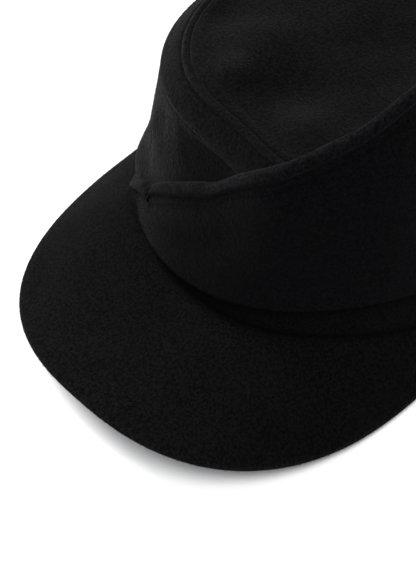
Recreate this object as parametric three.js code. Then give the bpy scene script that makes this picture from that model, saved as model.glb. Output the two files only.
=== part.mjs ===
// A soft wool field cap with a wide peak and a turned-up ear flap, lying on a flat surface.
// Millimetres, +Z up, the front at -Y and the wearer's left at +X. Z = 0 is the surface.
// "Turn" is the angle round the head in degrees: 0 at the front, 90 at the wearer's left.

import * as THREE from "three";

// Cloth
const cloth = 2.4;
const seamGap = 0.3;
const seamDip = 0.9;

// Head opening, measured over the outside of the hem
const headDepth = 197;
const headWidth = 168.8;
const headSquareness = 2.1;
const frontLift = 25;
const sideLift = 4.4;

// Crown: the crease where the wall turns in, and the seam of the top panel inside it
const rimDepth = 149.4;
const rimWidth = 142.7;
const rimSquareness = 2.55;
const rimHeight = 87.35;
const rimFall = 0.05;
const rimSag = 2.92;
const rimLeftRise = 15;
const crownShift = -12.2;
const crownSetback = 6.3;
const creaseDepth = 1;
const seamInset = 11.6;
const seamRise = 10.8;
const rimRoll = 1.6;
const rimTaper = 0.4;
const rimCleared = 1.05;

// The crown's front corners, right and left: how far each stands in or out of its oval, as a share
const cornerReach = 6;
const corners = [
  { turn: -48, spread: 30, reach: -0.29 },
  { turn: 22, spread: 15, reach: 1 },
];

// Turn-up: the ear flap folded up round the wall
const turnUpCloth = 3;
const turnUpStand = 7.6;
const foldStand = 4.6;
const easyStand = 0.66;
const easeShare = 0.4;
const foldEnds = 0.02;
const throughShare = 0.2;
const weltHeight = 5.5;
const weltBulge = 1.3;
const notchTurn = -20;
const notchLead = 20;
const notchTrail = 40;

// Left of the notch the arm's end is doubled over, so its back lies against the wall
const doubledFrom = -18;
const doubledSpread = 14;

// Peak
const peakCloth = 3;
const peakReach = 113;
const peakWidth = 187.2;
const peakWidest = 51.5;
const peakSquareness = 2.38;
const peakFrontLift = 18;
const peakEndTurn = 80;
const peakEndWidth = 7;
const peakBevel = 2;
const peakHeel = 0.15;
const peakDroopPower = 1.15;
const peakStations = 56;

// How far the hem stands off the surface: the stiff peak lifts the front, the back lies flat.
const hemRows = [
  { turn: -180, lift: 0 },
  { turn: -112, lift: 0 },
  { turn: -95, lift: 0.1 },
  { turn: -80, lift: 0.37 },
  { turn: -62, lift: 0.72 },
  { turn: -42, lift: 0.93 },
  { turn: -20, lift: 1 },
  { turn: 0, lift: 1 },
  { turn: 20, lift: 1 },
  { turn: 42, lift: 0.93 },
  { turn: 62, lift: 0.72 },
  { turn: 80, lift: 0.37 },
  { turn: 95, lift: 0.1 },
  { turn: 112, lift: 0 },
];

// Edges of the turn-up as shares of the wall's height, and its stand as a share.
// Here the turn is measured from the notch, where its two arms meet.
const turnUpRows = [
  { turn: -160, foot: 0.2, top: 1.14, stand: 0.74 },
  { turn: -130, foot: 0.2, top: 0.95, stand: 0.7 },
  { turn: -100, foot: 0.19, top: 0.66, stand: 0.64 },
  { turn: -75, foot: 0.13, top: 0.38, stand: 0.46 },
  { turn: -55, foot: 0.07, top: 0.25, stand: 0.36 },
  { turn: -38, foot: 0.055, top: 0.205, stand: 0.38 },
  { turn: -25, foot: 0.055, top: 0.205, stand: 0.46 },
  { turn: -18, foot: 0.09, top: 0.245, stand: 0.62 },
  { turn: -14, foot: 0.14, top: 0.275, stand: 0.75 },
  { turn: -10, foot: 0.15, top: 0.3, stand: 0.78 },
  { turn: -6, foot: 0.15, top: 0.345, stand: 0.71 },
  { turn: -1, foot: 0.16, top: 0.4, stand: 0.66 },
  { turn: 1, foot: 0.16, top: 0.465, stand: 0.66 },
  { turn: 6, foot: 0.16, top: 0.575, stand: 0.7 },
  { turn: 12, foot: 0.16, top: 0.67, stand: 0.7 },
  { turn: 20, foot: 0.16, top: 0.815, stand: 0.7 },
  { turn: 30, foot: 0.19, top: 1.05, stand: 0.7 },
  { turn: 42, foot: 0.24, top: 1.225, stand: 0.7 },
  { turn: 56, foot: 0.265, top: 1.32, stand: 0.7 },
  { turn: 70, foot: 0.28, top: 1.365, stand: 0.7 },
  { turn: 91, foot: 0.295, top: 1.435, stand: 0.72 },
  { turn: 110, foot: 0.28, top: 1.36, stand: 0.74 },
  { turn: 135, foot: 0.25, top: 1.27, stand: 0.76 },
  { turn: 165, foot: 0.22, top: 1.2, stand: 0.76 },
];

// Soft folds of the wall: depth and spread in shares of the cloth's reach, height as a share.
const foldReach = 4;
const wallFolds = [
  { turn: -45, spread: 12, height: 0.33, extent: 0.12, depth: 0.95 },
  { turn: -33, spread: 6, height: 0.72, extent: 0.1, depth: 0.35 },
  { turn: -26, spread: 4, height: 0.63, extent: 0.1, depth: 0.3 },
  { turn: -24, spread: 4, height: 0.84, extent: 0.11, depth: -0.25 },
  { turn: -14, spread: 4, height: 0.84, extent: 0.12, depth: 0.2 },
  { turn: -6, spread: 4.5, height: 0.88, extent: 0.1, depth: -0.3 },
  { turn: 150, spread: 16, height: 0.7, extent: 0.35, depth: -0.5 },
  { turn: -125, spread: 14, height: 0.65, extent: 0.35, depth: -0.5 },
];

// Soft folds of the turn-up, in the same columns, with the height as a share of the turn-up.
const turnUpFolds = [
  { turn: -31, spread: 8, height: 0.38, extent: 0.3, depth: -0.5 },
  { turn: 0, spread: 9, height: 0.66, extent: 0.18, depth: 0.28 },
  { turn: 2, spread: 12, height: 0.46, extent: 0.12, depth: -0.3 },
  { turn: 20, spread: 10, height: 0.28, extent: 0.14, depth: -0.25 },
  { turn: 105, spread: 14, height: 0.6, extent: 0.4, depth: 0.3 },
  { turn: -145, spread: 15, height: 0.6, extent: 0.4, depth: -0.2 },
];

// Hollows and ridges of the top panel: place and spread in shares of its half width and depth.
const dentDepth = 4;
const topDents = [
  { across: -0.34, along: -0.78, spread: 0.2, depth: 0.8 },
  { across: -0.36, along: -0.4, spread: 0.2, depth: 0.55 },
  { across: -0.8, along: -0.38, spread: 0.2, depth: -0.4 },
  { across: 0.08, along: -0.72, spread: 0.26, depth: -0.9 },
  { across: 0.42, along: -0.74, spread: 0.2, depth: 0.9 },
  { across: -0.2, along: 0.35, spread: 0.4, depth: 0.7 },
  { across: 0.45, along: 0.5, spread: 0.3, depth: -0.6 },
];

// Heights of the outside and the inside of each piece of cloth, as shares
const wallOutside = [0, 0.08, 0.2, 0.34, 0.48, 0.62, 0.74, 0.84, 0.93, 1];
const wallInside = [1, 0.8, 0.6, 0.4, 0.2, 0.08, 0];
const stripAcross = [0, 0.5, 1];
const turnUpOutside = [0.02, 0.1, 0.22, 0.36, 0.5, 0.64, 0.76];
const turnUpInside = [0.76, 0.5, 0.25, 0.1];
const panelRings = [0.08, 0.24, 0.4, 0.56, 0.72, 0.86, 0.95, 1];
const peakAcross = [0, 0.12, 0.3, 0.5, 0.7, 0.88, 0.97, 1];

const halfTurn = 180;
const radians = THREE.MathUtils.degToRad;
const lerp = THREE.MathUtils.lerp;

// Value of one column of a table of turns, on a smooth closed curve through its rows.
function around(rows, column, turn) {
  const count = rows.length;
  const wrapped = rows[0].turn + THREE.MathUtils.euclideanModulo(turn - rows[0].turn, 360);
  let index = count - 1;
  while (rows[index].turn > wrapped) {
    index -= 1;
  }
  const row = (k) => rows[(k + count) % count];
  const at = (k) => row(k).turn + 360 * Math.floor(k / count);
  const slope = (k) => (row(k + 1)[column] - row(k - 1)[column]) / (at(k + 1) - at(k - 1));
  const span = at(index + 1) - at(index);
  const t = (wrapped - at(index)) / span;
  const start = row(index)[column];
  const end = row(index + 1)[column];
  const ease = t * t * (3 - 2 * t);
  const leave = (t - 2 * t * t + t * t * t) * span * slope(index);
  const arrive = (t * t * t - t * t) * span * slope(index + 1);
  return lerp(start, end, ease) + leave + arrive;
}

function signedPower(value, exponent) {
  return Math.sign(value) * Math.abs(value) ** exponent;
}

// Point of a rounded oval at a turn.
function ovalPoint(oval, turn, out = 0) {
  const exponent = 2 / oval.squareness;
  const across = signedPower(Math.sin(radians(turn)), exponent);
  const along = signedPower(Math.cos(radians(turn)), exponent);
  const x = oval.shift + (oval.width / 2 + out) * across;
  const y = oval.setback - (oval.depth / 2 + out) * along;
  return new THREE.Vector3(x, y, 0);
}

const hemOval = {
  depth: headDepth, width: headWidth, squareness: headSquareness, shift: 0, setback: 0,
};
const rimOval = {
  depth: rimDepth, width: rimWidth, squareness: rimSquareness, shift: crownShift, setback: crownSetback,
};
const seamOval = {
  ...rimOval, depth: rimDepth - 2 * seamInset, width: rimWidth - 2 * seamInset,
};

// Oval between the hem and the rim, and past the rim where the turn-up stands above it.
function ovalAt(height) {
  return {
    depth: lerp(hemOval.depth, rimOval.depth, height),
    width: lerp(hemOval.width, rimOval.width, height),
    squareness: lerp(hemOval.squareness, rimOval.squareness, Math.min(height, 1)),
    shift: lerp(hemOval.shift, rimOval.shift, height),
    setback: lerp(hemOval.setback, rimOval.setback, height),
  };
}

function hemLift(turn) {
  const side = Math.sin(radians(turn)) ** 2 * Math.max(Math.cos(radians(turn)), 0);
  return frontLift * Math.max(around(hemRows, "lift", turn), 0) + 2 * sideLift * side;
}

function rimLevel(point) {
  const across = (point.x - crownShift) / (rimWidth / 2);
  const rise = rimLeftRise * Math.max(across, 0) ** 3;
  return rimHeight - rimFall * point.y - rimSag * across * across + rise;
}

// How far one turn is from another, from -180 to 180.
function turnAway(turn, from) {
  return THREE.MathUtils.euclideanModulo(turn - from + halfTurn, 2 * halfTurn) - halfTurn;
}

function cornerAt(turn) {
  let sum = 0;
  for (const corner of corners) {
    sum += cornerReach * corner.reach * Math.exp(-((turnAway(turn, corner.turn) / corner.spread) ** 2));
  }
  return sum;
}

// Sum of the soft folds in a table at a turn and a height.
function foldAt(folds, turn, height) {
  let sum = 0;
  for (const fold of folds) {
    const side = turnAway(turn, fold.turn) / fold.spread;
    const up = (height - fold.height) / fold.extent;
    sum += foldReach * fold.depth * Math.exp(-side * side - up * up);
  }
  return sum;
}

// Point of the wall's smooth outside, moved out by a distance.
function wallPoint(turn, height, out = 0) {
  const point = ovalPoint(ovalAt(height), turn, out + cornerAt(turn) * Math.min(height, 1));
  const rim = rimLevel(ovalPoint(rimOval, turn));
  point.z = lerp(hemLift(turn), rim, height);
  return point;
}

// A closed skin over loops of points. Joined loops make a ring, others are closed at both ends.
function skin(loops, joined) {
  const size = loops[0].length;
  const corners = loops.flat();
  const faces = [];
  const strips = joined ? loops.length : loops.length - 1;
  for (let i = 0; i < strips; i += 1) {
    const here = i * size;
    const next = ((i + 1) % loops.length) * size;
    for (let j = 0; j < size; j += 1) {
      const k = (j + 1) % size;
      faces.push(here + j, next + j, here + k);
      faces.push(next + j, next + k, here + k);
    }
  }
  if (!joined) {
    const ends = [loops[0], loops[loops.length - 1]];
    const first = corners.length;
    for (const end of ends) {
      const middle = new THREE.Vector3();
      end.forEach((point) => middle.addScaledVector(point, 1 / size));
      corners.push(middle);
    }
    const lastLoop = (loops.length - 1) * size;
    for (let j = 0; j < size; j += 1) {
      const k = (j + 1) % size;
      faces.push(first, j, k);
      faces.push(first + 1, lastLoop + k, lastLoop + j);
    }
  }
  const geometry = new THREE.BufferGeometry();
  geometry.setAttribute("position", new THREE.Float32BufferAttribute(corners.flatMap((p) => p.toArray()), 3));
  geometry.setIndex(faces);
  geometry.computeVertexNormals();
  return geometry;
}

function turnsBetween(spans) {
  const turns = [];
  for (const { from, to, steps } of spans) {
    for (let k = 0; k < steps; k += 1) {
      turns.push(lerp(from, to, k / steps));
    }
  }
  return turns;
}

const headTurns = turnsBetween([
  { from: -halfTurn, to: notchTurn - notchLead, steps: 22 },
  { from: notchTurn - notchLead, to: notchTurn + notchTrail, steps: 20 },
  { from: notchTurn + notchTrail, to: halfTurn, steps: 26 },
]);

function wallHeightAt(turn) {
  return rimLevel(ovalPoint(rimOval, turn)) - hemLift(turn);
}

// Wall of the crown: from the hem up to just under the crease.
function crownWall() {
  const loops = headTurns.map((turn) => {
    const most = 1 - (creaseDepth + seamGap) / wallHeightAt(turn);
    const place = (share, inward) => {
      const height = share * most;
      return wallPoint(turn, height, foldAt(wallFolds, turn, height) - inward);
    };
    const outside = wallOutside.map((share) => place(share, 0));
    const inside = wallInside.map((share) => place(share, cloth));
    return [...outside, ...inside];
  });
  return skin(loops, true);
}

// Rim: over the crease of the wall, then in and up to the seam of the top panel.
function crownRim() {
  const loops = headTurns.map((turn) => {
    const least = 1 - creaseDepth / wallHeightAt(turn);
    const lowest = wallPoint(turn, least, foldAt(wallFolds, turn, least));
    const crease = wallPoint(turn, 1, foldAt(wallFolds, turn, 1));
    const seam = seamPoint(turn, 0);
    const strip = stripAcross.map((across) => {
      const point = crease.clone().lerp(seam, across);
      point.z += rimRoll * Math.sin(Math.PI * across) - seamDip * Math.max(2 * across - 1, 0);
      return point;
    });
    const under = [strip[1], strip[2]].reverse().map((point, index) => {
      const inward = index === 0 ? 0 : cloth * rimTaper;
      return towards(point, inward).setZ(point.z - cloth);
    });
    return [lowest, ...strip, ...under, towards(lowest, cloth)];
  });
  return skin(loops, true);
}

// Point moved level towards the middle of the crown.
function towards(point, distance) {
  const middle = new THREE.Vector3(crownShift, crownSetback, point.z);
  const step = middle.sub(point).setLength(distance);
  return distance > 0 ? point.clone().add(step) : point.clone();
}

function seamPoint(turn, inward) {
  const point = ovalPoint(seamOval, turn, cornerAt(turn) - inward);
  point.z = rimLevel(point) + seamRise;
  return point;
}

// Top panel: a thin soft sheet inside the seam, with its hollows and ridges.
function crownTop() {
  const ring = (share, drop) => headTurns.map((turn) => {
    const edge = seamPoint(turn, seamGap);
    const across = (share * (edge.x - crownShift)) / (seamOval.width / 2);
    const along = (share * (edge.y - crownSetback)) / (seamOval.depth / 2);
    const x = crownShift + share * (edge.x - crownShift);
    const y = crownSetback + share * (edge.y - crownSetback);
    const level = rimLevel({ x, y }) + seamRise;
    const free = 1 - share ** 6;
    return new THREE.Vector3(x, y, level + free * dentAt(across, along) - seamDip * share ** 12 - drop);
  });
  const above = panelRings.map((share) => ring(share, 0));
  const below = [...panelRings].reverse().map((share) => ring(share, cloth));
  return skin([...above, ...below], false);
}

function dentAt(across, along) {
  let sum = 0;
  for (const dent of topDents) {
    const square = (across - dent.across) ** 2 + (along - dent.along) ** 2;
    sum += dentDepth * dent.depth * Math.exp(-square / dent.spread ** 2);
  }
  return sum;
}

// Turn-up: a folded foot against the wall, the flap standing off it, and a welted top edge.
function turnUp() {
  const loops = headTurns.map((turn) => {
    const foot = around(turnUpRows, "foot", turn - notchTurn);
    const top = around(turnUpRows, "top", turn - notchTurn);
    const standing = around(turnUpRows, "stand", turn - notchTurn);
    const stand = turnUpStand * standing;
    const relief = Math.min(standing / easyStand, 1);
    const bulge = weltBulge * relief;
    const welt = weltHeight / (wallHeightAt(turn) * (top - foot));
    const place = (share, out) => wallPoint(turn, lerp(foot, top, share), out);
    const face = (share) => {
      const fold = foldAt(wallFolds, turn, lerp(foot, top, share)) * throughShare;
      const own = foldAt(turnUpFolds, turn, share);
      return lerp(foldStand * relief, stand, Math.min(share / easeShare, 1)) + fold + own;
    };
    const doubled = Math.exp(-((turnAway(turn, notchTurn + doubledFrom) / doubledSpread) ** 2));
    const back = (share) => {
      const height = lerp(foot, top, share);
      const hanging = clearOf(turn, height, face(share) - turnUpCloth);
      return lerp(hanging, clearOf(turn, height, 0), doubled);
    };
    const outside = turnUpOutside.map((share) => place(share * (1 - welt), face(share)));
    const edge = [
      place(1 - welt, face(1) - bulge / 2),
      place(1 - welt * 0.7, face(1) + bulge),
      place(1 - welt * 0.2, face(1) + bulge * 0.6),
      place(1, clearOf(turn, top, face(1) - turnUpCloth / 2)),
      place(1 - welt * 0.3, back(1)),
    ];
    const inside = turnUpInside.map((share) => place(share * (1 - welt), back(share)));
    const foldBack = place(foldEnds, clearOf(turn, foot, 0));
    const foldEdge = place(-foldEnds, (foldStand * relief) / 2);
    return [...outside, ...edge, ...inside, foldBack, foldEdge];
  });
  return skin(loops, true);
}

// Distance from the smooth wall that stays clear of the wall's own folds, up to just over the rim.
function clearOf(turn, height, wanted) {
  const fold = height < rimCleared ? foldAt(wallFolds, turn, height) : 0;
  return Math.max(wanted, fold + seamGap);
}

// Edge of the peak from the front, 0, to either end, -1 or 1.
function peakEdge(share) {
  const side = Math.sign(share);
  const bend = Math.min(Math.abs(share) / (1 - peakHeel), 1) * (Math.PI / 2);
  const exponent = 2 / peakSquareness;
  const x = (peakWidth / 2) * Math.sin(bend) ** exponent;
  const y = -peakWidest - peakReach * Math.cos(bend) ** exponent;
  const end = ovalPoint(hemOval, peakEndTurn, peakEndWidth);
  const heel = Math.max((Math.abs(share) - (1 - peakHeel)) / peakHeel, 0) * (Math.PI / 2);
  const heelX = lerp(end.x, x, Math.cos(heel));
  const heelY = lerp(y, end.y, Math.sin(heel));
  const droop = 1 - Math.min(x / (peakWidth / 2), 1) ** 2;
  const settle = Math.sin(heel) ** 2;
  const z = lerp(peakFrontLift * droop, hemLift(peakEndTurn), settle);
  return new THREE.Vector3(side * heelX, heel > 0 ? heelY : y, z);
}

// Peak: one thick sheet from the hem to its half-oval edge, drooping to the surface at its sides.
function peak() {
  const loops = [];
  for (let k = 0; k <= peakStations; k += 1) {
    const share = 1 - (2 * k) / peakStations;
    const turn = peakEndTurn * share;
    const inner = wallPoint(turn, 0, seamGap);
    const outer = peakEdge(share);
    const trim = 1 - peakBevel / inner.distanceTo(outer);
    const sheet = (across, up) => {
      const point = inner.clone().lerp(outer, across);
      point.z = lerp(inner.z, outer.z, across ** peakDroopPower) + up;
      return point;
    };
    const above = peakAcross.map((across) => sheet(across, peakCloth));
    const below = [...peakAcross].reverse().map((across) => sheet(across * trim, 0));
    loops.push([...above, ...below]);
  }
  return skin(loops, false);
}

function cloak(name, geometry, colour, roughness) {
  const material = new THREE.MeshStandardMaterial({ color: colour, roughness, metalness: 0 });
  const mesh = new THREE.Mesh(geometry, material);
  mesh.name = name;
  return mesh;
}

const cap = new THREE.Group();
cap.add(cloak("crown_wall", crownWall(), 0x17171a, 0.95));
cap.add(cloak("crown_rim", crownRim(), 0x17171a, 0.95));
cap.add(cloak("crown_top", crownTop(), 0x17171a, 0.95));
cap.add(cloak("turn_up", turnUp(), 0x141417, 0.95));
cap.add(cloak("peak", peak(), 0x191919, 0.95));

// The origin is under the middle of the whole cap.
const boxMiddle = new THREE.Box3().setFromObject(cap).getCenter(new THREE.Vector3());
cap.position.set(-boxMiddle.x, -boxMiddle.y, 0);

export default cap;
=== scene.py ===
# %% [markdown]
# # A wool field cap on a white table
# The cap is five pieces of felted wool: the crown's wall, the rim above it, the top panel,
# the ear flap that is folded up round the wall, and the peak. The CAD model gives their places.
# Here each gets a finer skin of the same shape, with its seams, folds and rolled edges, and
# a wool material made only of nodes.

# %% Load the frame
import math
import bpy
import numpy as np
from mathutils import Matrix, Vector


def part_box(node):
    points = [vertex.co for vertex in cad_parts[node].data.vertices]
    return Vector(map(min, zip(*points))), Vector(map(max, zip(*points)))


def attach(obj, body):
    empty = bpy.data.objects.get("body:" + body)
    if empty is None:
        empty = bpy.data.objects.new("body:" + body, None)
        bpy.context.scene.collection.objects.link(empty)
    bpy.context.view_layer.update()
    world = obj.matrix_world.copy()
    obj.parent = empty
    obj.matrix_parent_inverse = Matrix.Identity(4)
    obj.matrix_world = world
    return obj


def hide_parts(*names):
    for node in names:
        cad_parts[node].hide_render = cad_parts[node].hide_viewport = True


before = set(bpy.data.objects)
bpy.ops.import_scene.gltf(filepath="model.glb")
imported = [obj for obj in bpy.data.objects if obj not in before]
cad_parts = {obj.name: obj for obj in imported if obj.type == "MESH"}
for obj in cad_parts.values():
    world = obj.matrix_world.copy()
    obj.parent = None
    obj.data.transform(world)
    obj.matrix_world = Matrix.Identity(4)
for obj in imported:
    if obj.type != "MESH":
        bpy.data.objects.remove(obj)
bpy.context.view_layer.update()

# %% [markdown]
# ## Measures
# All sizes are in millimetres and the same as the CAD model's. "Turn" is the angle round the
# head in degrees, 0 at the front and 90 at the wearer's left. "Height" is a share of the wall,
# 0 at the hem and 1 at the crease under the rim. The cap lies with its peak to the front, and
# the peak's front edge in the frame says how far the head's middle is from the origin.

# %% Sizes of the cap
cloth = 2.4
seam_dip = 0.9
head_depth, head_width, head_squareness = 197, 168.8, 2.1
front_lift, side_lift = 25, 4.4
rim_depth, rim_width, rim_squareness = 149.4, 142.7, 2.55
rim_height, rim_fall, rim_sag, rim_left_rise = 87.35, 0.05, 2.92, 15
crown_shift, crown_setback = -12.2, 6.3
seam_inset, seam_rise, rim_roll = 11.6, 10.8, 1.6
flap_cloth, flap_stand, fold_stand, easy_stand = 3, 7.6, 4.6, 0.66
welt_height, welt_bulge, notch_turn = 5.5, 1.3, -20
doubled_from, doubled_spread = -18, 14
peak_cloth, peak_reach, peak_width, peak_widest, peak_squareness = 3, 113, 187.2, 51.5, 2.38
peak_front_lift, peak_end_turn, peak_end_width, peak_heel, peak_bevel = 18, 80, 7, 0.15, 2
head_to_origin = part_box("peak")[0].y * 1000 + peak_widest + peak_reach
print("the head's middle is", round(head_to_origin, 2), "mm behind the origin")

# Columns: turn, lift of the hem as a share
hem_rows = [(-180, 0), (-112, 0), (-95, 0.1), (-80, 0.37), (-62, 0.72), (-42, 0.93), (-20, 1),
            (0, 1), (20, 1), (42, 0.93), (62, 0.72), (80, 0.37), (95, 0.1), (112, 0)]
# The crown's front corners. Columns: turn, spread, how far it stands out of the oval
corners = [(-48, 30, -1.74), (22, 15, 6)]
# Under the flap the top seam turns a sharper corner than the crown: turn and spread, reach
seam_corner, seam_corner_reach = (29, 9), 3.5
# Columns: turn from the notch, foot and top as heights, stand as a share
flap_rows = [
    (-160, 0.2, 1.14, 0.74), (-130, 0.2, 0.95, 0.7), (-100, 0.19, 0.66, 0.64), (-75, 0.13, 0.36, 0.42),
    (-55, 0.06, 0.2, 0.3), (-38, 0.05, 0.15, 0.26), (-28, 0.05, 0.15, 0.28), (-22, 0.065, 0.175, 0.4),
    (-17, 0.09, 0.235, 0.58), (-13, 0.12, 0.305, 0.67), (-9, 0.13, 0.37, 0.7), (-5, 0.125, 0.425, 0.67),
    (-1, 0.125, 0.455, 0.64), (1, 0.125, 0.51, 0.64), (6, 0.125, 0.6, 0.67), (12, 0.13, 0.682, 0.7),
    (20, 0.145, 0.815, 0.7), (30, 0.185, 1.05, 0.7), (42, 0.24, 1.225, 0.7), (56, 0.265, 1.32, 0.7),
    (70, 0.28, 1.365, 0.7), (91, 0.295, 1.435, 0.72), (110, 0.28, 1.36, 0.74), (135, 0.25, 1.27, 0.76),
    (165, 0.22, 1.2, 0.76)]
# Columns: turn, spread, height, extent, depth in mm
wall_folds = [(-43, 13, 0.28, 0.13, 4.2), (-33, 6, 0.72, 0.1, 1.2), (-26, 4, 0.63, 0.1, 0.8),
              (-24, 4, 0.84, 0.11, -0.6), (1, 11, 0.88, 0.17, -3.2), (150, 16, 0.7, 0.35, -2),
              (-125, 14, 0.65, 0.35, -2)]
flap_folds = [(-31, 8, 0.38, 0.3, -2), (0, 9, 0.66, 0.18, 1.12), (2, 12, 0.46, 0.12, -1.2),
              (20, 10, 0.28, 0.14, -1), (105, 14, 0.6, 0.4, 1.2), (-145, 15, 0.6, 0.4, -0.8)]
# Columns: place across and along the top panel, spread, depth in mm
top_dents = [(-0.31, -0.77, 0.18, 4.8), (-0.36, -0.42, 0.24, 3.8), (-0.8, -0.38, 0.2, -1.8),
             (0.1, -0.62, 0.37, -3.6), (0.42, -0.74, 0.2, 3.4), (-0.2, 0.35, 0.4, 2.8),
             (0.45, 0.5, 0.3, -2.4)]

# %% [markdown]
# ## Curves round the head
# A table gives a size at a few turns, and a smooth closed curve joins them. The hem, the rim
# and the top seam are rounded ovals, which is what a head makes of a soft band.

# %% Curves and ovals
def mix(a, b, t):
    return a + (b - a) * t


def around(rows, column, turn):
    turns = np.array([row[0] for row in rows], float)
    values = np.array([row[column] for row in rows], float)
    count = len(turns)
    turn = turns[0] + np.mod(np.asarray(turn, float) - turns[0], 360)
    at = np.concatenate([[turns[-1] - 360], turns, [turns[0] + 360, turns[1] + 360]])
    value = np.concatenate([[values[-1]], values, [values[0], values[1]]])
    i = np.clip(np.searchsorted(at, turn, side="right") - 1, 1, count)
    slope = lambda k: (value[k + 1] - value[k - 1]) / (at[k + 1] - at[k - 1])
    span = at[i + 1] - at[i]
    t = (turn - at[i]) / span
    leave = (t - 2 * t * t + t**3) * span * slope(i)
    arrive = (t**3 - t * t) * span * slope(i + 1)
    return mix(value[i], value[i + 1], t * t * (3 - 2 * t)) + leave + arrive


def turn_away(turn, start):
    return np.mod(turn - start + 180, 360) - 180


def bell(x, middle, width):
    return np.exp(-(((x - middle) / width) ** 2))


def oval(depth, width, squareness, shift, setback, turn, out=0.0):
    angle = np.radians(turn)
    side, front = np.sin(angle), np.cos(angle)
    x = shift + (width / 2 + out) * np.sign(side) * np.abs(side) ** (2 / squareness)
    y = setback - (depth / 2 + out) * np.sign(front) * np.abs(front) ** (2 / squareness)
    return x, y


def hem_lift(turn):
    angle = np.radians(turn)
    side = np.sin(angle) ** 2 * np.maximum(np.cos(angle), 0)
    return front_lift * np.maximum(around(hem_rows, 1, turn), 0) + 2 * side_lift * side


def rim_level(x, y):
    across = (x - crown_shift) / (rim_width / 2)
    return rim_height - rim_fall * y - rim_sag * across**2 + rim_left_rise * np.maximum(across, 0) ** 3


def corner(turn):
    return sum(reach * bell(turn_away(turn, at), 0, spread) for at, spread, reach in corners)


def rim_oval(turn, out=0.0):
    return oval(rim_depth, rim_width, rim_squareness, crown_shift, crown_setback, turn, out)


def wall_height(turn):
    return rim_level(*rim_oval(turn)) - hem_lift(turn)


def wall_at(turn, height, out=0.0):
    low = np.minimum(height, 1)
    x, y = oval(mix(head_depth, rim_depth, height), mix(head_width, rim_width, height),
                mix(head_squareness, rim_squareness, low), mix(0, crown_shift, height),
                mix(0, crown_setback, height), turn, out + corner(turn) * low)
    z = hem_lift(turn) + height * wall_height(turn)
    return np.stack(np.broadcast_arrays(x, y, z), -1)


def folds_at(folds, turn, height):
    total = 0
    for at, spread, level, extent, depth in folds:
        across, along = turn_away(turn, at) / spread, (height - level) / extent
        total = total + depth * np.exp(-(across**2) - along**2)
    return total


def seam_at(turn, inward=0.0):
    out = corner(turn) - inward + seam_corner_reach * bell(turn, *seam_corner)
    x, y = oval(rim_depth - 2 * seam_inset, rim_width - 2 * seam_inset, rim_squareness,
                crown_shift, crown_setback, turn, out)
    return np.stack([x, y, rim_level(x, y) + seam_rise], -1)


# Columns: first turn, end and step in degrees, finest at the notch
turn_steps = [(-180, -64, 1.0), (-64, -24, 0.4), (-24, -14, 0.2),
              (-14, 26, 0.5), (26, 110, 0.75), (110, 180, 1.0)]
head_turns = np.concatenate([np.arange(first, end, step) for first, end, step in turn_steps])[:, None]
tall_at = wall_height(head_turns)
print(len(head_turns), "turns; the wall is", round(tall_at.min(), 1), "to",
      round(tall_at.max(), 1), "mm high")

# %% [markdown]
# ## Skins of cloth
# Each piece is a closed skin over loops of points: the outside, the edge and the inside of the
# cloth in one loop, repeated round the head. A closed skin with real thickness shows a true
# edge from every side. Three numbers are kept with each point for the materials. The first is
# where the nap is worn pale on edges and a highlight is painted on ridges and patches that
# face the light. The second is where stitching or a fold presses the cloth flat and dark, and
# where shade is painted under the flap, along the hem, in hollows, at the notch and where the
# peak meets the wall. The third, "nap", is 1 where loose hairs may stand. It is -1 inside the
# cap, in the folds and on the strip of wall under the flap, where the faces take a second,
# flatter wool without sheen; on the flap's rounded fold and on that strip, which show, this
# darker wool is painted shade.

# %% Helper that skins loops
# Points marked so take the second wool. Inside the cap it is unseen, but on the flap's rounded fold and
# on the strip of wall under the flap it is painted shade.
inside_and_shade_mark = -1.0
far = 99.0  # a distance in mm for points that no worn edge is near


def skin(name, loops, joined, rub, press, nap):
    count, size = loops.shape[:2]
    points = loops.reshape(-1, 3)
    marks = {"rub": rub, "press": press, "nap": nap}
    marks = {label: np.broadcast_to(value, (count, size)).reshape(-1) for label, value in marks.items()}
    rows = np.arange(count if joined else count - 1)[:, None]
    here, after = rows * size, ((rows + 1) % count) * size
    j = np.arange(size)[None, :]
    k = (j + 1) % size
    faces = np.stack(np.broadcast_arrays(here + j, after + j, after + k, here + k), -1)
    faces = faces.reshape(-1, 4).tolist()
    if not joined:
        first, last = len(points), (count - 1) * size
        points = np.concatenate([points, [loops[0].mean(0), loops[-1].mean(0)]])
        marks = {label: np.append(value, [value[0], value[last]]) for label, value in marks.items()}
        faces += [(first, a, (a + 1) % size) for a in range(size)]
        faces += [(first + 1, last + (a + 1) % size, last + a) for a in range(size)]
    mesh = bpy.data.meshes.new(name)
    mesh.from_pydata(((points + (0, head_to_origin, 0)) / 1000).tolist(), [], faces)
    for label, value in marks.items():
        mesh.attributes.new(label, "FLOAT", "POINT").data.foreach_set("value", value.astype(np.float32))
    mesh.shade_smooth()
    shown = marks["nap"] > inside_and_shade_mark / 2
    mesh.polygons.foreach_set("material_index", [0 if shown[list(face)].all() else 1 for face in faces])
    piece = bpy.data.objects.new(name, mesh)
    bpy.context.scene.collection.objects.link(piece)
    print(name, "has", len(points), "points and", len(faces), "faces")
    return piece


# Soft unevenness of handled cloth: a few slow waves with a fixed seed.
waves, shortest_wave, longest_wave = 9, 0.7, 1.6


def unevenness(points, seed, length, amount):
    draw = np.random.default_rng(seed)
    total = np.zeros(points.shape[:-1])
    for _ in range(waves):
        way = draw.normal(size=3)
        way *= 2 * math.pi / (np.linalg.norm(way) * length * draw.uniform(shortest_wave, longest_wave))
        total += np.sin(points @ way + draw.uniform(0, 2 * math.pi))
    return amount * total / math.sqrt(waves)


# A soft ridge, or a groove where its height is below nothing. Columns of the tables of
# ridges: height, distance from the edge, width.
def ridge(away, height, middle, width):
    return height * bell(away, middle, width)

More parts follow.
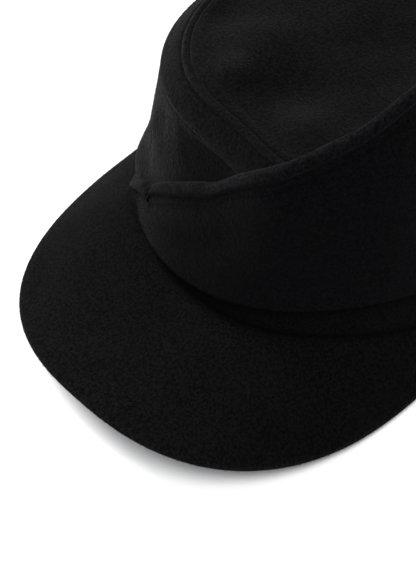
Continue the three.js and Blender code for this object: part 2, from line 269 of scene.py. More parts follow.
# %% [markdown]
# ## The crown's wall
# On the real cap the wall is a band of wool cut on a curve. It sags softly between the stiff
# peak and the light rim, so it carries slanting folds over the peak. A cloth simulation would
# put the folds where it likes; a table of folds puts them where the real cap has them. The
# hem at the foot is turned under, so its edge is round.

# %% Crown wall
# Columns: start and end (turn, height), width and depth in mm
wall_creases = [
    ((-33, 0.78), (-28, 0.48), 3, 0.35), ((-29, 0.8), (-24, 0.52), 3.2, -0.2),
    ((-36.5, 0.72), (-31, 0.42), 3, -0.2), ((-16.5, 0.96), (-12, 0.76), 2.4, 0.2),
    ((-12.5, 0.95), (-8, 0.78), 3, -0.2), ((-23, 0.9), (-19.5, 0.62), 2.6, 0.15),
    ((100, 0.5), (118, 0.9), 5, 0.7), ((-100, 0.6), (-86, 0.9), 4, 0.8),
    ((-140, 0.5), (-128, 0.9), 5, 0.7)]
turn_length, height_length = 1.4, 70  # mm for a degree of turn and for the whole height
top_fade, foot_fade = 0.07, 0.2  # shares of the height in which folds and creases die out
lip, lip_tuck, lip_gap = 1.5, 0.35, 0.4  # the rim covers the wall's top edge, which is tucked in
wall_points, inner_points, hem_points = 76, 26, 9
# The first number is how far above the flap's foot the wall takes the darker second wool, as painted
# shade under the flap.
shade_above_foot, hidden_below_top = 0.03, 0.06  # how far the flap hides the wall, as heights
# Painted shade on the wall: darker just above the flap's foot and along the hem where it
# meets the peak. Columns: how dark, distance in mm, width
foot_shade, hem_shade = (1.3, 1, 4.5), (1.3, 2, 2.5)
# A patch of painted shade where the wall turns away from the light; its last column is how dark.
shaded_patch = [(-9, 13, 0.8, 0.24, 0.55)]  # turn, spread, height, extent, press


def crease_lines(turn, height, lines):
    total = 0
    for (turn_a, height_a), (turn_b, height_b), width, depth in lines:
        across, along = (turn_b - turn_a) * turn_length, (height_b - height_a) * height_length
        right, over = turn_away(turn, turn_a) * turn_length, (height - height_a) * height_length
        t = np.clip((right * across + over * along) / (across**2 + along**2), 0, 1)
        away = np.hypot(right - t * across, over - t * along)
        total = total + depth * np.sin(np.pi * mix(0.04, 0.96, t)) ** 0.5 * bell(away, 0, width)
    return total


def wall_out(turn, height):
    fade = np.clip((1 - height) / top_fade, 0, 1)
    free = np.clip(height / foot_fade, 0, 1) * fade
    soft = folds_at(wall_folds, turn, height) * fade
    return soft + free * crease_lines(turn, height, wall_creases)


def crown_wall():
    radius = cloth / 2
    least, most = radius / tall_at, 1 - lip_gap / tall_at
    up = mix(least, most, np.linspace(0, 1, wall_points)[None, :])
    tucked = np.clip((up * tall_at - (tall_at - lip)) / 0.5, 0, 1) * lip_tuck
    outside = wall_at(head_turns, up, wall_out(head_turns, up) - tucked)
    down = mix(most, least, np.linspace(0, 1, inner_points)[None, :])
    inside = wall_at(head_turns, down, wall_out(head_turns, down) - cloth)
    curl = np.linspace(np.pi, 0, hem_points)[None, 1:-1]
    hem = wall_at(head_turns, radius * (1 - np.sin(curl)) / tall_at, radius * (np.cos(curl) - 1))
    loops = np.concatenate([outside, inside, hem], 1)
    foot, top = (around(flap_rows, column, turn_away(head_turns, notch_turn)) for column in (1, 2))
    hairy = (up > top - hidden_below_top) & (up * tall_at < tall_at - lip)
    # The strip of wall under the flap takes the second wool as painted shade and grows no hairs.
    nap = np.where(up < foot + shade_above_foot, inside_and_shade_mark, hairy * 1.0)
    behind = np.full((len(head_turns), inner_points + hem_points - 2), inside_and_shade_mark)
    # Painted shade under the flap's foot, along the hem by the peak and in the patch where the wall
    # turns away from the light.
    press = ridge(up * tall_at - foot * tall_at, *foot_shade) + ridge(up * tall_at, *hem_shade)
    press = press + folds_at(shaded_patch, head_turns, up)
    press = np.concatenate([press, np.zeros_like(behind)], 1)
    return skin("crown_wall_cloth", loops, True, 0.0, press, np.concatenate([nap, behind], 1))


wall = crown_wall()

# %% [markdown]
# ## The rim
# Above the wall the same cloth is creased over and runs in to the seam of the top panel. The
# pressed crease is pinched into a thin ridge, worn pale and painted with a highlight where it
# catches the light; the soft ridge by the seam is made paler in the same way. A row of
# topstitching holds the turned seam edge down, so the cloth puffs up in a soft roll between
# stitches and seam.

# %% Crown rim
strip_points, strip_width = 44, math.hypot(seam_inset, seam_rise)
topstitch_in = 4.1  # from the seam out to the row of topstitching
strip_lean = 0.7  # the strip leans at about 45 degrees
lip_points, lip_reach = 7, 1.1
# Columns: height, distance and width in mm
crease_ridge, seam_ridge, stitch_groove = (0.45, 0.8, 2.3), (0.55, 2, 1.1), (-0.4, topstitch_in, 0.6)
# The crease and the ridge by the seam are made paler, as wear and as a painted highlight where they
# catch the light.
crease_wear_and_highlight, seam_wear_and_highlight = (0.7, 0.8, 2.8), (0.5, 2, 0.9)
stitch_press, seam_press = (0.8, topstitch_in, 0.6), (1, 0, 0.8)


def strip_at(turn, across):
    crease, seam = wall_at(turn, 1 + 0 * turn), seam_at(turn)
    point = mix(crease, seam, across[..., None])
    to_crease, to_seam = across * strip_width, (1 - across) * strip_width
    lift = rim_roll * 0.75 * np.sin(np.pi * across) + ridge(to_crease, *crease_ridge)
    lift = lift + ridge(to_seam, *seam_ridge) + ridge(to_seam, *stitch_groove)
    lift = lift - (seam_dip + 0.5) * np.clip(1 - to_seam / 1.3, 0, 1) ** 2
    side = np.stack([np.sin(np.radians(turn)), -np.cos(np.radians(turn)), 1 + 0 * turn], -1)
    return point + strip_lean * lift[..., None] * side


def crown_rim():
    middle = np.array([crown_shift, crown_setback, 0])
    across = np.linspace(0, 1, strip_points)[None, :]
    strip = strip_at(head_turns, across)
    height = 1 - (lip * np.linspace(lip_reach, 0, lip_points + 1)[None, :-1]) / tall_at
    rise = (height * tall_at - tall_at) / lip
    lower = wall_at(head_turns, height, wall_out(head_turns, height) + 0.25 * rise + 0.15 * (1 + rise))
    inward = middle - strip[:, -1:]
    inward[..., 2] = 0
    inward /= np.linalg.norm(inward, axis=-1, keepdims=True)
    under = strip[:, ::-4] + inward * 0.2
    under[..., 2] -= cloth
    closing = lower[:, :1] + inward * cloth
    loops = np.concatenate([lower, strip, under, closing], 1)
    beyond = np.full((1, loops.shape[1] - lip_points - strip_points), far)
    at_lip = np.full((1, lip_points), 1.0)
    to_crease = np.concatenate([at_lip, across * strip_width, beyond], 1)
    to_seam = np.concatenate([at_lip * far, (1 - across) * strip_width, beyond], 1)
    # Wear and painted highlight along the crease and along the ridge by the seam.
    rub = ridge(to_crease, *crease_wear_and_highlight) + ridge(to_seam, *seam_wear_and_highlight)
    press = ridge(to_seam, *stitch_press) + ridge(to_seam, *seam_press)
    nap = np.where(to_crease < far, (to_seam > 1) * 1.0, inside_and_shade_mark)
    return skin("crown_rim_cloth", loops, True, rub, press, nap)


rim = crown_rim()

# %% [markdown]
# ## The top panel
# A soft oval of the same wool, sewn in flat and then dented by handling. Its hollows and
# ridges come from a table of soft dents, and its edge dips into the seam.

# %% Crown top
top_step, top_gap, top_points, edge_points = 1.2, 0.12, 56, 18
# Of these, the second makes the rolled edge by the seam paler, as wear and as a painted highlight on its
# ridge.
edge_roll, top_edge_wear_and_highlight, edge_press = (0.3, 3, 1.6), (0.25, 2.6, 1.4), (1, 0, 0.9)  # height, distance, width
# A painted highlight: a patch where the top panel slopes towards the light is made paler.
# Columns: place across and along the top panel, spread, how much paler
lit_patch_across, lit_patch_along, lit_patch_spread, lit_patch_gain = -0.42, -0.62, 0.26, 0.45


def crown_top():
    turns = np.arange(-180, 180, top_step)[None, :]
    edge = seam_at(turns[0], top_gap)
    half_width, half_depth = rim_width / 2 - seam_inset, rim_depth / 2 - seam_inset

    def ring(share, drop):
        x = mix(crown_shift, edge[:, 0], share)
        y = mix(crown_setback, edge[:, 1], share)
        across, along = (x - crown_shift) / half_width, (y - crown_setback) / half_depth
        dent = sum(depth * bell(np.hypot(across - a, along - b), 0, s) for a, b, s, depth in top_dents)
        points = np.stack([x, y, rim_level(x, y) + seam_rise], -1)
        from_seam = (1 - share) * (half_width + half_depth) / 2
        free = 1 - share**6
        points[..., 2] += free * (dent + unevenness(points, 4, 26, 0.45)) - drop
        dip = (seam_dip + 0.4) * np.clip(1 - from_seam / 1.2, 0, 1) ** 2
        points[..., 2] += ridge(from_seam, *edge_roll) - dip
        return points, from_seam

    inner_shares, edge_shares = np.linspace(0.02, 0.93, top_points), np.linspace(0.94, 1, edge_points)
    shares = np.concatenate([inner_shares, edge_shares])[:, None]
    above, away = ring(shares, 0)
    below, _ = ring(shares[::-4], cloth)
    away = np.concatenate([away, np.full_like(shares[::-4], far)])
    loops = np.concatenate([above, below])
    across = (loops[..., 0] - crown_shift) / half_width
    along = (loops[..., 1] - crown_setback) / half_depth
    from_patch = np.hypot(across - lit_patch_across, along - lit_patch_along)
    # Wear and painted highlight on the rolled edge, and the painted highlight of the patch that faces
    # the light.
    rub = ridge(away, *top_edge_wear_and_highlight) + lit_patch_gain * bell(from_patch, 0, lit_patch_spread)
    nap = np.where(away < far, (away > 1) * 1.0, inside_and_shade_mark)
    return skin("crown_top_cloth", loops, False, rub, ridge(away, *edge_press), nap)


top_panel = crown_top()

# %% [markdown]
# ## The turned-up flap
# The ear flap is a second band, folded up round the wall from a soft rounded foot. Its upper
# edge is turned over and stitched down, so it ends in a fat rolled welt, and its two arms meet
# in a notch to the wearer's right. The loop of points runs up the outside, over the welt,
# down the back and round the fold. To the right of the notch the arm's end is doubled over, so
# it lies against the wall without a gap.

# %% Turned-up flap
flap_points, crest_points, back_points, fold_points = 84, 16, 24, 16
slit_depth, slit_turn, slit_width = 0.03, 0.1, 0.7  # the cut between the arms, as a height, and its turn
arm_end, arm_bulge, arm_slope, welt_thinned = -10, 0.3, 1.2, 0.15  # at the end of the low arm
stitch_below, groove_depth, groove_width = 4, 0.35, 0.9
fold_through = 0.2  # so much of the wall's folds shows through the flap
least_thick, wall_gap, foot_tuck = 1.2, 0.25, 0.2
# The welt's crest is made paler, as wear and as a painted highlight where it catches the light; the
# stitches are darkened, and painted shade lies in the crease at the welt's foot.
welt_wear_and_highlight, stitch_dark, welt_shade = (1.3, 0.5, 3), (0.7, 0.8), (0.35, 1.3)
hidden_past = 90  # mm below the flap's edge; its hidden side is marked as further down

from_notch = turn_away(head_turns, notch_turn)
flap_foot = around(flap_rows, 1, from_notch)
flap_top = around(flap_rows, 2, from_notch) - slit_depth * bell(from_notch, slit_turn, slit_width)
flap_tall = tall_at * (flap_top - flap_foot)
standing = around(flap_rows, 3, from_notch)
relief = np.minimum(standing / easy_stand, 1)
doubled = bell(from_notch, doubled_from, doubled_spread)
welt_deep = welt_height * (1 - welt_thinned * bell(from_notch, arm_end, 14))
welt_stitch = welt_height + stitch_below
plain_run = 1 - bell(from_notch, -9, 13)  # the stitches sink into the cloth at the notch


# Where the two arms meet, a sharp dip runs down from the notch and dies out.
def meeting(share):
    return 0.6 * bell(from_notch, 0, 0.9) * np.clip((share - 0.75) / 0.15, 0, 1)


def flap_face(share):
    fold = folds_at(wall_folds, head_turns, mix(flap_foot, flap_top, share)) * fold_through
    rise = np.minimum(share / 0.4, 1)
    out = mix(fold_stand * relief, flap_stand * standing, rise * rise * (3 - 2 * rise))
    return out + fold + folds_at(flap_folds, head_turns, share) - meeting(share)


# A point of the flap, so far down from its edge and so far out from the wall.
def flap_at(down, out):
    return wall_at(head_turns, flap_top - down / tall_at, out)


# The welt swells below the edge, and a row of stitches draws the cloth in over a short way.
def flap_outside(down):
    bulge = welt_bulge * relief + arm_bulge * bell(from_notch, arm_end, 8)
    welt = bulge * np.sin(np.pi * np.clip((welt_deep - down) / (welt_deep - 0.5), 0, 1)) ** 0.8
    groove = groove_depth * plain_run * bell(down, welt_stitch, groove_width)
    return flap_face(1 - down / flap_tall) + welt - groove


# The flap never goes into the wall: where it would, it lies just off it.
def clear(down, wanted):
    height = flap_top - down / tall_at
    beside_wall = np.where(height < 1.05, wall_out(head_turns, np.minimum(height, 1)), 0)
    return np.maximum(wanted, beside_wall + wall_gap)


def flap():
    lowest = wall_out(head_turns, flap_foot) - foot_tuck
    radius = (fold_stand * relief - lowest) / 2
    down = mix(flap_tall - radius, flap_cloth / 2, np.linspace(0, 1, flap_points)[None, :] ** 0.9)
    outside = flap_at(down, np.maximum(flap_outside(down), clear(down, 0 * down) + least_thick))
    crest_at = flap_cloth / 2 + 0 * flap_tall
    crest = np.maximum(flap_outside(crest_at), clear(crest_at, 0 * crest_at) + least_thick)
    crest_radius = mix(flap_cloth / 2 + 0.5, (crest - clear(flap_cloth, 0 * crest)) / 2, doubled)
    crest = crest - crest_radius
    angle = np.linspace(0, np.pi, crest_points)[None, 1:]
    slope = arm_slope * doubled * ((1 - np.cos(angle)) / 2) ** 1.5
    crest_down = flap_cloth / 2 * (1 - np.sin(angle)) - slope
    over = flap_at(crest_down, crest + crest_radius * np.cos(angle))
    back_down = mix(crest_down[:, -1:], flap_tall - radius, np.linspace(0, 1, back_points)[None, 1:])
    back_out = flap_face(1 - back_down / flap_tall) - flap_cloth
    ease = np.clip((back_down - 1.5) / 4, 0, 1)
    back_out = clear(back_down, mix(np.minimum(back_out, crest - crest_radius), back_out, ease))
    back_out = mix(back_out, clear(back_down, 0 * back_down), doubled)
    back = flap_at(back_down, back_out)
    curl = np.linspace(0, np.pi, fold_points)[None, 1:-1]
    fold = flap_at(flap_tall - radius + radius * np.sin(curl), lowest + radius * (1 - np.cos(curl)))
    loops = np.concatenate([outside, over, back, fold], 1)
    hidden = np.full((len(head_turns), back.shape[1] + fold.shape[1]), far)
    downs = np.concatenate([down, crest_down, hidden], 1)
    press = stitch_dark[0] * bell(downs, welt_stitch, stitch_dark[1])
    # Painted shade in the crease at the welt's foot.
    press = press + welt_shade[0] * bell(downs, welt_deep, welt_shade[1])
    # Painted shade in the notch where the arms meet.
    press = press + bell(from_notch, 0, 0.8) * bell(downs, 2, 4)
    # Painted shadow under the rolled end of the doubled arm.
    press = press + 1.4 * doubled * bell(downs, welt_deep + 6, 5)
    # The back and the rounded fold at the foot take the second wool; on the fold, which shows, it is
    # painted shade.
    nap = np.where(downs < hidden_past, 1.0, inside_and_shade_mark)
    return skin("turn_up_cloth_piece", loops, True, ridge(downs, *welt_wear_and_highlight), press, nap)


turn_up = flap()

# %% [markdown]
# ## The peak
# A wide half oval of stiffened wool, sewn to the hem at the front. It is almost flat, droops at
# its sides until it rests on the table, and has a plain rounded edge.

# %% Peak
edge_stations, above_points, nose_points, below_points = 321, 64, 12, 24
station_spread, peak_tuck, peak_power = 0.7, -1.6, 1.15
# The edge is made paler, as wear and as a painted highlight where it catches the light, and painted
# shade darkens the peak where it meets the wall.
edge_swell, peak_edge_wear_and_highlight, wall_shade = (0.25, 5, 3), (1, 0, 1.6), (1, 0, 2.2)  # height, distance, width
# Painted light: the peak grows paler towards its front edge, where more light falls on it.
front_lit_from, front_lit_over, front_light_gain = 120, 40, 0.5  # mm ahead of the head's middle


def peak_edge(share):
    bend = np.minimum(np.abs(share) / (1 - peak_heel), 1) * (np.pi / 2)
    x = peak_width / 2 * np.sin(bend) ** (2 / peak_squareness)
    y = -peak_widest - peak_reach * np.maximum(np.cos(bend), 0) ** (2 / peak_squareness)
    end_x, end_y = oval(head_depth, head_width, head_squareness, 0, 0, peak_end_turn, peak_end_width)
    heel = np.maximum((np.abs(share) - (1 - peak_heel)) / peak_heel, 0) * (np.pi / 2)
    droop = 1 - np.minimum(x / (peak_width / 2), 1) ** 2
    z = mix(peak_front_lift * droop, hem_lift(np.array(float(peak_end_turn))), np.sin(heel) ** 2)
    heel_y = np.where(heel > 0, mix(y, end_y, np.sin(heel)), y)
    return np.stack([np.sign(share) * mix(end_x, x, np.cos(heel)), heel_y, z], -1)


def peak():
    even = np.linspace(1, -1, edge_stations)
    share = mix(np.sin(even * np.pi / 2), even, station_spread)
    inner, outer = wall_at(peak_end_turn * share, 0 * share, peak_tuck), peak_edge(share)
    length = np.linalg.norm(outer - inner, axis=1)[:, None]
    radius, trim = peak_cloth / 2, peak_bevel / 2

    def sheet(across, up):
        point = mix(inner[:, None], outer[:, None], across[..., None])
        point[..., 2] = mix(inner[:, None, 2], outer[:, None, 2], np.abs(across) ** peak_power) + up
        return point

    across = np.linspace(0, 1, above_points)[None, :] * (1 - radius / length)
    to_edge, to_wall = (1 - across) * length, across * length
    waviness = unevenness(sheet(across, 0), 9, 34, 0.35) * np.clip(to_edge / 12, 0, 1)
    above = sheet(across, peak_cloth + (ridge(to_edge, *edge_swell) + waviness))
    angle = np.linspace(0, np.pi, nose_points)[None, 1:-1]
    nose = 1 - (radius * (1 - np.sin(angle)) + trim * np.sin(angle / 2) ** 2) / length
    edge = sheet(nose, radius + radius * np.cos(angle))
    below = sheet(np.linspace(1, 0, below_points)[None, :] * (1 - (radius + trim) / length), 0)
    loops = np.concatenate([above, edge, below], 1)
    hidden, at_nose = np.full((len(share), below_points), far), np.zeros((len(share), nose_points - 2))
    to_edge = np.concatenate([to_edge, at_nose, hidden], 1)
    to_wall = np.concatenate([to_wall, at_nose + far, hidden], 1)
    nap = np.where(to_edge < far, (to_wall > 1) * 1.0, inside_and_shade_mark)
    # Painted light towards the front of the peak, and wear with painted highlight along its edge.
    front_lit = front_light_gain * np.clip((-loops[..., 1] - front_lit_from) / front_lit_over, 0, 1)
    # Painted shade where the peak meets the wall.
    press = ridge(to_wall, *wall_shade)
    return skin("peak_cloth_piece", loops, False, ridge(to_edge, *peak_edge_wear_and_highlight) + front_lit, press, nap)


peak_piece = peak()

# %% [markdown]
# ## Node maths in plain Python
# Long node trees are hard to read as lists of links. A small class wraps a socket, so that
# sums and products of sockets can be written like numbers, and one method adds any other node.

# %% Sockets that can be added and multiplied
class Wire:
    def __init__(self, board, socket):
        self.board, self.socket = board, socket

    def maths(self, operation, first, second):
        return self.board.add("ShaderNodeMath", {"operation": operation}, {0: first, 1: second})

    def __add__(self, other):
        return self.maths("ADD", self, other)

    def __sub__(self, other):
        return self.maths("SUBTRACT", self, other)

    def __rsub__(self, other):
        return self.maths("SUBTRACT", other, self)

    def __mul__(self, other):
        return self.maths("MULTIPLY", self, other)

    def __gt__(self, other):
        return self.maths("GREATER_THAN", self, other)

    __radd__, __rmul__ = __add__, __mul__


class Board:
    def __init__(self, tree):
        self.tree = tree
        tree.nodes.clear()

    def add(self, kind, settings=None, inputs=None, out=0):
        node = self.tree.nodes.new(kind)
        for name, value in (settings or {}).items():
            setattr(node, name, value)
        for name, value in (inputs or {}).items():
            if isinstance(value, Wire):
                self.tree.links.new(value.socket, node.inputs[name])
            else:
                node.inputs[name].default_value = value
        return Wire(self, node.outputs[out]) if len(node.outputs) else None


# %% [markdown]
# ## Felted wool
# Melton wool is fulled until its weave disappears under short matted hair. Close up it is a
# fine pebbly grain without direction. It hardly shines, but the hair lights up at a glancing
# angle, which is what sheen does. Worn edges are paler and pressed seams darker, from the two
# numbers kept in the skins. The same two numbers also carry painted highlights on ridges and
# patches that face the light, and painted shade under the flap, along the hem, in hollows, at
# the notch and where the peak meets the wall.

# %% Wool material
# Columns: waves to a metre, detail, roughness, values shown as darkest and palest
grains = [(760, 2, 0.55, 0.38, 0.62), (1500, 2, 0.6, 0.36, 0.64), (60, 2, 0.5, 0.25, 0.75)]
pebble_in_colour, hair_in_colour, slow_in_colour = 0.52, 0.36, 0.1
pebble_in_relief, hair_in_relief, relief_strength, relief_depth = 0.65, 0.35, 0.45, 0.0005
# How much the wear and painted highlight lighten the colour, how much the pressing and painted shade
# darken it, and the limits of that change.
wear_and_highlight_gain, press_and_shade_gain, least_wear_and_painted_light, most_wear_and_painted_light = 0.9, 0.8, 0.12, 2.2
roughest, roughness_fall, shine, sheen_roughness = 0.98, 0.08, 0.03, 0.45


def new_material(name):
    material = bpy.data.materials.new(name)
    material.use_nodes = True
    return material, Board(material.node_tree)


def wool(name, deep, pale, sheen, seed):
    material, board = new_material(name)
    place = board.add("ShaderNodeTexCoord", out="Object")
    shift = (0.37 * seed, 0.21 * seed, 0.11 * seed)
    place = board.add("ShaderNodeMapping", {}, {"Vector": place, "Location": shift})

    def noise(scale, detail, rough, low, high):
        value = board.add("ShaderNodeTexNoise", {}, {
            "Vector": place, "Scale": scale, "Detail": detail, "Roughness": rough}, "Fac")
        steps = {"Value": value, "From Min": low, "From Max": high}
        return board.add("ShaderNodeMapRange", {"interpolation_type": "SMOOTHSTEP"}, steps)

    pebble, hair, slow = (noise(*grain) for grain in grains)
    # Wear with painted highlight, and pressing with painted shade, read from the skins.
    rub = board.add("ShaderNodeAttribute", {"attribute_name": "rub"}, {}, "Fac")
    press = board.add("ShaderNodeAttribute", {"attribute_name": "press"}, {}, "Fac")
    wear_and_painted_light = board.add("ShaderNodeClamp", {}, {
        "Value": 1 + rub * wear_and_highlight_gain - press * press_and_shade_gain, "Min": least_wear_and_painted_light, "Max": most_wear_and_painted_light})
    mask = (pebble * pebble_in_colour + hair * hair_in_colour + slow * slow_in_colour) * wear_and_painted_light
    mixing = {"data_type": "RGBA", "clamp_factor": False}
    colour = board.add("ShaderNodeMix", mixing, {0: mask, 6: (*deep, 1), 7: (*pale, 1)}, 2)
    height = pebble * pebble_in_relief + hair * hair_in_relief
    bump = board.add("ShaderNodeBump", {}, {
        "Strength": relief_strength, "Distance": relief_depth, "Height": height})
    shader = board.add("ShaderNodeBsdfPrincipled", {}, {
        "Base Color": colour, "Roughness": roughest - mask * roughness_fall, "Normal": bump,
        "Specular IOR Level": shine, "Sheen Weight": sheen, "Sheen Roughness": sheen_roughness,
        "Sheen Tint": (0.96, 0.97, 1.0, 1)})
    board.add("ShaderNodeOutputMaterial", {}, {"Surface": shader})
    return material


# Columns: name, darkest and palest colour, sheen, seed
crown_wool = wool("crown_wool", (0.0003, 0.0003, 0.0005), (0.0033, 0.0033, 0.0036), 0.04, 1)
flap_wool = wool("flap_wool", (0.0002, 0.0002, 0.0004), (0.0023, 0.0023, 0.0028), 0.023, 2)
peak_wool = wool("peak_wool", (0.0005, 0.0005, 0.0006), (0.0034, 0.0034, 0.0035), 0.02, 3)
# The second wool, without sheen and so darker: inside the cap, and as painted shade on the flap's
# rounded fold and on the strip of wall under the flap.
inside_and_shade_wool = wool("inside_and_shade_wool", (0.0007, 0.0007, 0.0009), (0.0030, 0.0030, 0.0034), 0.002, 6)
loose_hair = wool("loose_hair", (0.0008, 0.0008, 0.0010), (0.0056, 0.0056, 0.0060), 0.01, 4)
thread = wool("sewing_thread", (0.0008, 0.0008, 0.0011), (0.0030, 0.0030, 0.0036), 0.02, 5)

# %% [markdown]
# ## Geometry Nodes
# Stitches and loose hairs repeat thousands of times, so small node trees make them. Each tree
# is built here with named sizes as inputs, run once, and its result is kept as a plain mesh.

# %% Run a tree once and keep its mesh
def grown(name, base, build, sizes, material):
    tree = bpy.data.node_groups.new(name, "GeometryNodeTree")
    tree.interface.new_socket("Geometry", in_out="INPUT", socket_type="NodeSocketGeometry")
    names = {}
    for label in sizes:
        socket = tree.interface.new_socket(label, in_out="INPUT", socket_type="NodeSocketFloat")
        names[label] = socket.identifier
    tree.interface.new_socket("Geometry", in_out="OUTPUT", socket_type="NodeSocketGeometry")
    board = Board(tree)
    group = board.add("NodeGroupInput")
    size = {label: Wire(board, group.socket.node.outputs[label]) for label in sizes}
    result = build(board, group, size)
    result = board.add("GeometryNodeRealizeInstances", {}, {"Geometry": result})
    result = board.add("GeometryNodeSetMaterial", {}, {"Geometry": result, "Material": material})
    board.add("NodeGroupOutput", {}, {"Geometry": result})
    modifier = base.modifiers.new(name, "NODES")
    modifier.node_group = tree
    for label, value in sizes.items():
        modifier[names[label]] = float(value)
    bpy.context.view_layer.update()
    evaluated = base.evaluated_get(bpy.context.evaluated_depsgraph_get())
    mesh = bpy.data.meshes.new_from_object(evaluated)
    base.modifiers.remove(modifier)
    mesh.name = name
    piece = bpy.data.objects.new(name, mesh)
    bpy.context.scene.collection.objects.link(piece)
    print(name, "has", sum(len(face.vertices) - 2 for face in mesh.polygons), "triangles")
    return piece

# %% [markdown]
# ## Stitches
# A lockstitch shows as short rounded lengths of thread with small gaps, lying in the groove
# that they pull into the cloth. One row runs round the rim outside the top seam, one along the
# flap below its welt.

# %% Rows of stitches
def stitch_tree(board, group, size):
    curve = board.add("GeometryNodeMeshToCurve", {}, {"Mesh": group})
    curve = board.add("GeometryNodeResampleCurve", {"mode": "LENGTH"}, {
        "Curve": curve, "Length": size["Stitch"] + size["Gap"]})
    tangent = board.add("GeometryNodeInputTangent")
    turned = board.add("FunctionNodeAlignRotationToVector", {"axis": "X"}, {"Vector": tangent})
    bead = board.add("GeometryNodeMeshUVSphere", {}, {"Segments": 6, "Rings": 4, "Radius": 0.5})
    thick = size["Thread"]
    scale = board.add("ShaderNodeCombineXYZ", {}, {0: size["Stitch"], 1: thick, 2: thick})
    return board.add("GeometryNodeInstanceOnPoints", {}, {
        "Points": curve, "Instance": bead, "Rotation": turned, "Scale": scale})


def row_of_stitches(name, path, stitch, gap, width):
    mesh = bpy.data.meshes.new(name + "_path")
    count = len(path)
    ring = [(i, (i + 1) % count) for i in range(count)]
    mesh.from_pydata(((path + (0, head_to_origin, 0)) / 1000).tolist(), ring, [])
    line = bpy.data.objects.new(name + "_path", mesh)
    bpy.context.scene.collection.objects.link(line)
    sizes = {"Stitch": stitch / 1000, "Gap": gap / 1000, "Thread": width / 1000}
    piece = grown(name, line, stitch_tree, sizes, thread)
    bpy.data.objects.remove(line)
    return piece


rim_thread, welt_thread = (2.5, 0.6, 0.55), (2.7, 0.7, 0.5)  # stitch, gap and width in mm
stitch_sunk = 1.6  # mm that the welt's row sinks into the cloth at the notch

rim_row = strip_at(head_turns, np.array([[1 - topstitch_in / strip_width]]))[:, 0]
rim_stitches = row_of_stitches("rim_stitches", rim_row, *rim_thread)
down_to_stitches = welt_stitch + 0 * flap_tall
out_to_stitches = flap_outside(down_to_stitches) + stitch_sunk * (plain_run - 1)
welt_row = flap_at(down_to_stitches, out_to_stitches)[:, 0]
welt_stitches = row_of_stitches("welt_stitches", welt_row, *welt_thread)

# %% [markdown]
# ## Loose hairs
# Felted wool is never quite smooth: short hairs stand off it and soften every edge against the
# light. Each hair is a thin closed spike. Hairs grow where the "nap" number is one, so not
# inside the cap, and not so near the table that they would go through it.

# %% Hairs scattered over the skins
full_nap = 0.99
least_lean, most_lean = 0.2, 1.25  # radians from upright
shortest, longest = 0.6, 1.5  # times the named length


def hair_tree(board, group, size):
    place = board.add("GeometryNodeInputPosition")
    above = board.add("ShaderNodeSeparateXYZ", {}, {0: place}, "Z") > size["Lowest"]
    nap = board.add("GeometryNodeInputNamedAttribute", {"data_type": "FLOAT"}, {"Name": "nap"})
    scattered = board.add("GeometryNodeDistributePointsOnFaces", {}, {
        "Mesh": group, "Density": size["Hairs"], "Selection": (nap > full_nap) * above, "Seed": 7})
    normal = Wire(board, scattered.socket.node.outputs["Normal"])
    upright = board.add("FunctionNodeAlignRotationToVector", {"axis": "Z"}, {"Vector": normal})
    lean = board.add("FunctionNodeRandomValue", {"data_type": "FLOAT_VECTOR"}, {
        "Min": (least_lean, 0, 0), "Max": (most_lean, 0, 2 * math.pi), "Seed": 3})
    spin = board.add("ShaderNodeSeparateXYZ", {}, {0: lean}, "Z")
    around_normal = board.add("FunctionNodeAxisAngleToRotation", {}, {"Axis": (0, 0, 1), "Angle": spin})
    tilt = board.add("FunctionNodeAxisAngleToRotation", {}, {
        "Axis": (1, 0, 0), "Angle": board.add("ShaderNodeSeparateXYZ", {}, {0: lean}, "X")})
    turned = board.add("FunctionNodeRotateRotation", {"rotation_space": "LOCAL"}, {
        "Rotation": upright, "Rotate By": around_normal})
    turned = board.add("FunctionNodeRotateRotation", {"rotation_space": "LOCAL"}, {
        "Rotation": turned, "Rotate By": tilt})
    spike = board.add("GeometryNodeMeshCone", {"fill_type": "NGON"}, {
        "Vertices": 3, "Radius Top": 0, "Radius Bottom": size["Width"] * 0.5,
        "Depth": size["Length"]}, "Mesh")
    long = board.add("FunctionNodeRandomValue", {"data_type": "FLOAT"}, {
        "Min": shortest, "Max": longest, "Seed": 5}, 1)
    return board.add("GeometryNodeInstanceOnPoints", {}, {
        "Points": scattered, "Instance": spike, "Rotation": turned, "Scale": long})


hair_share = 1
hair_sizes = {"Length": 0.0008, "Width": 0.0001, "Lowest": 0.0022}
# Columns: skin, its slot, hairs to a square metre
haired = [
    (wall, "crown_cloth", 1.1e6),
    (rim, "crown_cloth", 1.9e6),
    (top_panel, "crown_cloth", 1.9e6),
    (turn_up, "turn_up_cloth", 1.3e6),
    (peak_piece, "peak_cloth", 1.8e6),
]
naps = []
for base, slot, hairs in haired:
    sizes = {"Hairs": hairs * hair_share, **hair_sizes}
    name = base.name.replace("_cloth", "").replace("_piece", "") + "_nap"
    naps.append((grown(name, base, hair_tree, sizes, loose_hair), slot))

# %% [markdown]
# ## Riding and replacing
# Each skin stands for the CAD node of the same piece. The CAD node stays, hidden.

# %% Fit the pieces to the frame
skins = [
    (wall, crown_wool, "crown_wall", "crown_cloth"),
    (rim, crown_wool, "crown_rim", "crown_cloth"),
    (top_panel, crown_wool, "crown_top", "crown_cloth"),
    (turn_up, flap_wool, "turn_up", "turn_up_cloth"),
    (peak_piece, peak_wool, "peak", "peak_cloth"),
]
for piece, material, node, slot in skins:
    piece.data.materials.append(material)
    piece.data.materials.append(inside_and_shade_wool)
    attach(piece, "root")
    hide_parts(node)
for piece, slot in [(rim_stitches, "crown_cloth"), (welt_stitches, "turn_up_cloth"), *naps]:
    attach(piece, "root")

# %% [markdown]
# ## Floor, light and camera
# The real cap lies on a white surface that is lit until it is plain white. One large soft
# light comes from the far left, and the white surroundings fill the rest, a little blue.

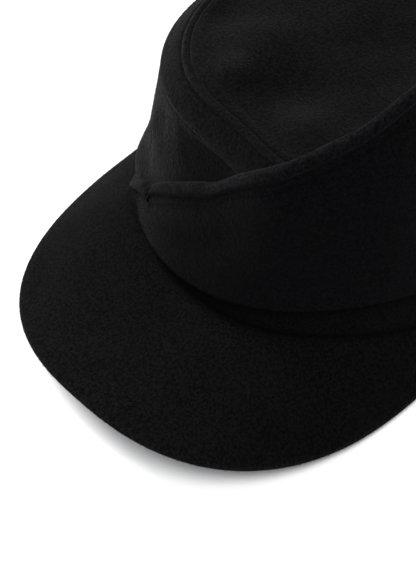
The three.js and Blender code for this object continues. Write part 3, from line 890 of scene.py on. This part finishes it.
# %% Floor and surroundings
def white_table():
    material, board = new_material("white_table")
    place = board.add("ShaderNodeTexCoord", out="Object")
    cloud = board.add("ShaderNodeTexNoise", {}, {"Vector": place, "Scale": 3, "Detail": 2}, "Fac")
    whites = {0: cloud, 6: (0.88, 0.88, 0.88, 1), 7: (0.92, 0.92, 0.92, 1)}
    colour = board.add("ShaderNodeMix", {"data_type": "RGBA"}, whites, 2)
    shader = board.add("ShaderNodeBsdfPrincipled", {}, {
        "Base Color": colour, "Roughness": 0.8, "Specular IOR Level": 0.2})
    board.add("ShaderNodeOutputMaterial", {}, {"Surface": shader})
    return material


half_floor, floor_level = 4, -0.0002
floor_mesh = bpy.data.meshes.new("floor")
corner_signs = [(-1, -1), (1, -1), (1, 1), (-1, 1)]
floor_corners = [(x * half_floor, y * half_floor, floor_level) for x, y in corner_signs]
floor_mesh.from_pydata(floor_corners, [], [(0, 1, 2, 3)])
floor_mesh.materials.append(white_table())
floor = bpy.data.objects.new("floor", floor_mesh)
bpy.context.scene.collection.objects.link(floor)

world = bpy.data.worlds.new("white_room")
bpy.context.scene.world = world
world.use_nodes = True
world.node_tree.nodes["Background"].inputs["Color"].default_value = (0.93, 0.95, 1, 1)
world.node_tree.nodes["Background"].inputs["Strength"].default_value = 0.6

# %% Soft lights
def soft_light(name, place, aim, size, power, colour):
    light = bpy.data.lights.new(name, "AREA")
    light.shape = "DISK"
    light.size, light.energy, light.color = size, power, colour
    lamp = bpy.data.objects.new(name, light)
    lamp.location = place
    lamp.rotation_euler = (Vector(aim) - Vector(place)).to_track_quat("-Z", "Y").to_euler()
    bpy.context.scene.collection.objects.link(lamp)


# Each light: name, place, aim and size in metres, power in watts, colour
soft_light("window_light", (-1.45, 0.02, 0.9), (-0.02, -0.02, 0.05), 0.9, 46, (1, 0.985, 0.95))
soft_light("ceiling_light", (0.4, -0.4, 2), (0, 0, 0), 1.6, 36, (1, 0.99, 0.97))
bpy.context.scene.view_settings.view_transform = "Standard"

# %% Camera at the photograph's angle
camera_azimuth, camera_elevation, camera_distance = 44.1, 53.76, 859.41
camera_target = (13.18, head_to_origin - 45.96, 0)
focal_pixels, middle_pixel = 1921.17, (298.71, 281.78)
frame_pixels = (416, 576)
side, up = math.radians(camera_azimuth), math.radians(camera_elevation)
back = Vector((math.sin(side) * math.cos(up), -math.cos(side) * math.cos(up), math.sin(up)))
lens = bpy.data.cameras.new("camera")
lens.sensor_width = 36
lens.lens = focal_pixels * lens.sensor_width / max(frame_pixels)
lens.shift_x = (frame_pixels[0] / 2 - middle_pixel[0]) / max(frame_pixels)
lens.shift_y = (middle_pixel[1] - frame_pixels[1] / 2) / max(frame_pixels)
lens.dof.use_dof = False
camera = bpy.data.objects.new("camera", lens)
camera.location = (Vector(camera_target) + back * camera_distance) / 1000
camera.rotation_euler = (-back).to_track_quat("-Z", "Y").to_euler()
bpy.context.scene.collection.objects.link(camera)
bpy.context.scene.camera = camera
